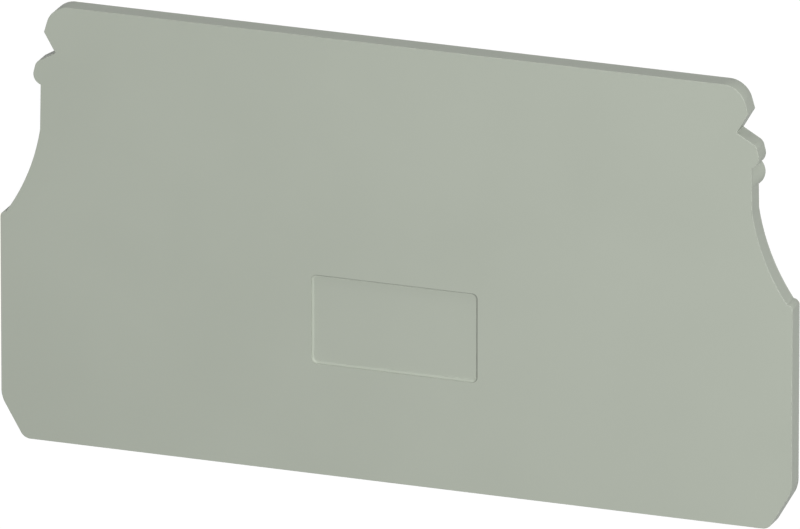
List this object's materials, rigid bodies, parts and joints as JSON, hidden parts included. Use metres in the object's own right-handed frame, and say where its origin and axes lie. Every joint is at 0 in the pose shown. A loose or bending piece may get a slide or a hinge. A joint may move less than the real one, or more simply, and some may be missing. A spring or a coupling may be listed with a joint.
{
  "type": "terminal block end cover",
  "caption": "Thin moulded plate with shaped sides, a label recess and snap pegs that closes the open side of a terminal block.",
  "frame": {"origin": "middle of the footprint, level with the tips of the pegs that it rests on", "axes": "+X along the cover, +Y up its height in use from the straight foot to the marker notches, +Z out of its front face"},
  "size_m": [0.085, 0.0468, 0.0047],
  "materials": {
    "moulded_polyamide": "fine matt moulded surface, grey-green"
  },
  "bodies": {
    "root": {"end_cover": "moulded_polyamide"}
  },
  "joints": []
}
